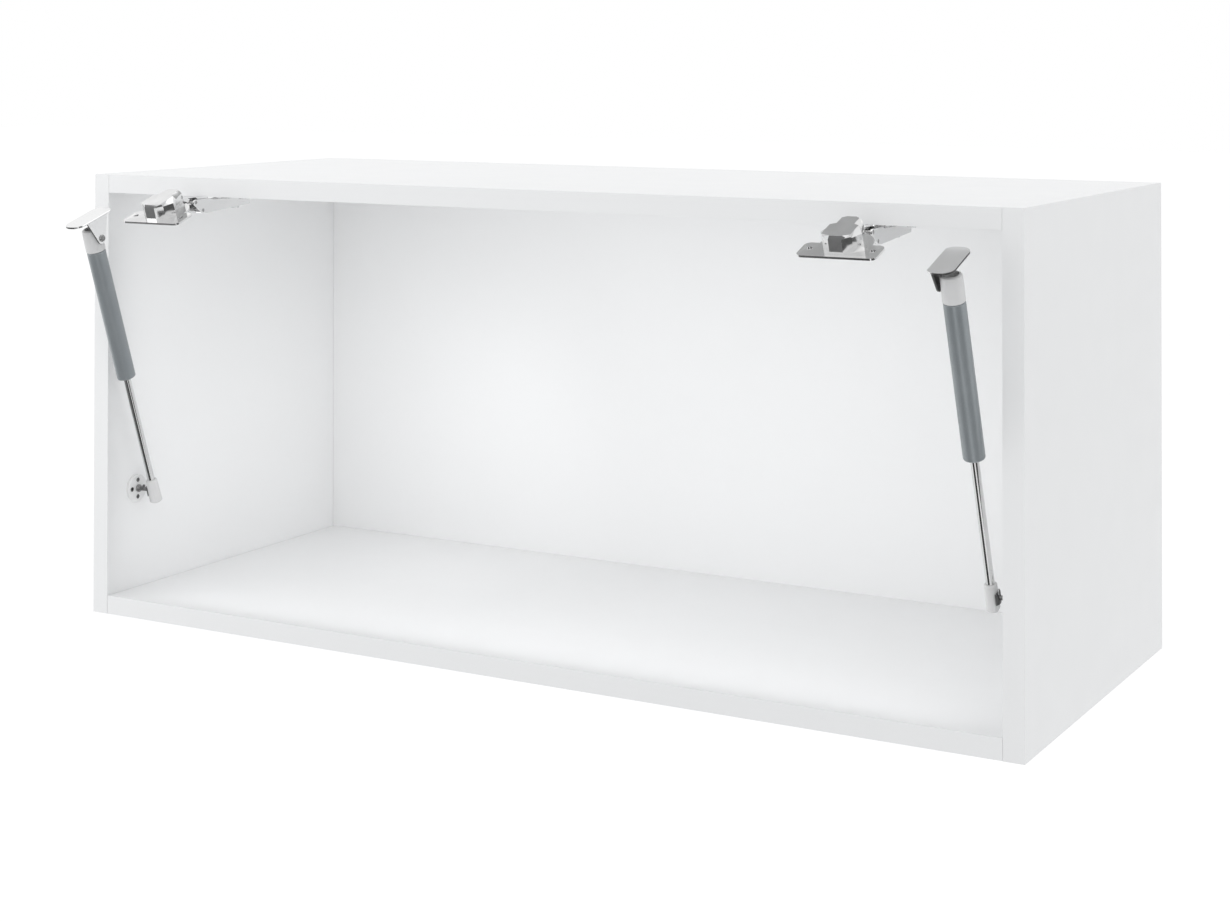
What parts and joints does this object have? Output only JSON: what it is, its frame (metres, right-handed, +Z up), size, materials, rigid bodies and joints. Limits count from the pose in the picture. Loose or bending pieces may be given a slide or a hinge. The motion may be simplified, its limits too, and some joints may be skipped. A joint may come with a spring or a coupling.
{
  "type": "lift up wall cabinet",
  "caption": "Wide open-fronted wall cabinet of white board with concealed cup hinges under its top and a gas strut at each side for a lift up flap.",
  "frame": {"origin": "on the wall plane, at the middle of the top panel's rear edge", "axes": "+X to the right seen from the front, +Y towards the wall, +Z up"},
  "size_m": [0.8, 0.385, 0.36],
  "materials": {
    "board": "white melamine faced board with banded edges",
    "zinc": "bright zinc plate",
    "nickel": "nickel plate",
    "steel": "plain turned steel",
    "dark_steel": "blackened spring steel",
    "chrome": "hard chromed and polished",
    "tube": "grey powder coat",
    "white_plastic": "moulded, fine grain",
    "black_plastic": "moulded",
    "painted_steel": "light grey lacquered sheet"
  },
  "bodies": {
    "carcass": {"left_side": "board", "right_side": "board", "top_panel": "board", "bottom_panel": "board", "back_panel": "board", "left_hanging_plate": "zinc", "left_hanging_screw_lower": "zinc", "left_hanging_screw_upper": "zinc", "right_hanging_plate": "zinc", "right_hanging_screw_lower": "zinc", "right_hanging_screw_upper": "zinc", "left_strut_foot_plate": "white_plastic", "left_strut_foot_stud": "steel", "right_strut_foot_plate": "white_plastic", "right_strut_foot_stud": "steel", "left_hinge_mounting_plate": "zinc", "left_hinge_plate_screw_left": "zinc", "left_hinge_plate_screw_right": "zinc", "left_hinge_arm": "nickel", "left_hinge_fixing_screw": "zinc", "left_hinge_depth_screw": "zinc", "left_hinge_leaf_spring": "dark_steel", "left_hinge_rear_arm_pin": "steel", "left_hinge_front_arm_pin": "steel", "right_hinge_mounting_plate": "zinc", "right_hinge_plate_screw_left": "zinc", "right_hinge_plate_screw_right": "zinc", "right_hinge_arm": "nickel", "right_hinge_fixing_screw": "zinc", "right_hinge_depth_screw": "zinc", "right_hinge_leaf_spring": "dark_steel", "right_hinge_rear_arm_pin": "steel", "right_hinge_front_arm_pin": "steel"},
    "left_strut_rod_end": {"left_strut_socket": "white_plastic", "left_strut_socket_clip": "dark_steel", "left_strut_rod": "chrome"},
    "left_strut_tube_end": {"left_strut_rod_guide": "black_plastic", "left_strut_tube": "tube", "left_strut_end_cap": "white_plastic", "left_strut_rivet": "steel"},
    "left_strut_bracket": {"left_strut_flap_bracket": "painted_steel"},
    "right_strut_rod_end": {"right_strut_socket": "white_plastic", "right_strut_socket_clip": "dark_steel", "right_strut_rod": "chrome"},
    "right_strut_tube_end": {"right_strut_rod_guide": "black_plastic", "right_strut_tube": "tube", "right_strut_end_cap": "white_plastic", "right_strut_rivet": "steel"},
    "right_strut_bracket": {"right_strut_flap_bracket": "painted_steel"},
    "left_hinge_short_link": {"left_hinge_short_link": "nickel"},
    "left_hinge_long_link": {"left_hinge_long_link": "nickel"},
    "left_hinge_cup": {"left_hinge_cup": "nickel", "left_hinge_rim_cup_pin": "steel", "left_hinge_deep_cup_pin": "steel"},
    "right_hinge_short_link": {"right_hinge_short_link": "nickel"},
    "right_hinge_long_link": {"right_hinge_long_link": "nickel"},
    "right_hinge_cup": {"right_hinge_cup": "nickel", "right_hinge_rim_cup_pin": "steel", "right_hinge_deep_cup_pin": "steel"}
  },
  "joints": [
    {"name": "left_strut_swing", "type": "hinge", "parent": "carcass", "child": "left_strut_rod_end", "pos_m": [-0.3655, -0.2861, -0.2553], "axis": [1, 0, 0], "range_deg": [-14, 45]},
    {"name": "left_strut_stroke", "type": "slide", "parent": "left_strut_rod_end", "child": "left_strut_tube_end", "axis": [0, -0.3223, 0.9466], "range_m": [-0.085, 0], "stiffness_N_per_m": 200, "springref_m": 0.3},
    {"name": "left_strut_bracket_turn", "type": "hinge", "parent": "left_strut_tube_end", "child": "left_strut_bracket", "pos_m": [-0.3655, -0.35913, -0.04079], "axis": [1, 0, 0], "range_deg": [-20, 80]},
    {"name": "right_strut_swing", "type": "hinge", "parent": "carcass", "child": "right_strut_rod_end", "pos_m": [0.3655, -0.2861, -0.2553], "axis": [1, 0, 0], "range_deg": [-14, 45]},
    {"name": "right_strut_stroke", "type": "slide", "parent": "right_strut_rod_end", "child": "right_strut_tube_end", "axis": [0, -0.3223, 0.9466], "range_m": [-0.085, 0], "stiffness_N_per_m": 200, "springref_m": 0.3},
    {"name": "right_strut_bracket_turn", "type": "hinge", "parent": "right_strut_tube_end", "child": "right_strut_bracket", "pos_m": [0.3655, -0.35913, -0.04079], "axis": [1, 0, 0], "range_deg": [-20, 80]},
    {"name": "left_hinge_open", "type": "hinge", "parent": "carcass", "child": "left_hinge_short_link", "pos_m": [-0.291, -0.3312, -0.0115], "axis": [1, 0, 0], "range_deg": [-81.6, 11.66]},
    {"name": "left_hinge_cup_turn", "type": "hinge", "parent": "left_hinge_short_link", "child": "left_hinge_cup", "pos_m": [-0.291, -0.34813, -0.00646], "axis": [1, 0, 0], "range_deg": [-21.8, 151.8]},
    {"name": "left_hinge_long_link_turn", "type": "hinge", "parent": "carcass", "child": "left_hinge_long_link", "pos_m": [-0.291, -0.3224, -0.018], "axis": [1, 0, 0], "range_deg": [-69.3, 10]},
    {"name": "right_hinge_open", "type": "hinge", "parent": "carcass", "child": "right_hinge_short_link", "pos_m": [0.291, -0.3312, -0.0115], "axis": [1, 0, 0], "range_deg": [-81.6, 11.66]},
    {"name": "right_hinge_cup_turn", "type": "hinge", "parent": "right_hinge_short_link", "child": "right_hinge_cup", "pos_m": [0.291, -0.34813, -0.00646], "axis": [1, 0, 0], "range_deg": [-21.8, 151.8]},
    {"name": "right_hinge_long_link_turn", "type": "hinge", "parent": "carcass", "child": "right_hinge_long_link", "pos_m": [0.291, -0.3224, -0.018], "axis": [1, 0, 0], "range_deg": [-69.3, 10]}
  ],
  "couplings": [
    {"joint": "left_hinge_cup_turn", "follows": "left_hinge_open", "ratio": -1.8578},
    {"joint": "left_hinge_long_link_turn", "follows": "left_hinge_open", "ratio": 0.846},
    {"joint": "right_hinge_cup_turn", "follows": "right_hinge_open", "ratio": -1.8578},
    {"joint": "right_hinge_long_link_turn", "follows": "right_hinge_open", "ratio": 0.846}
  ]
}
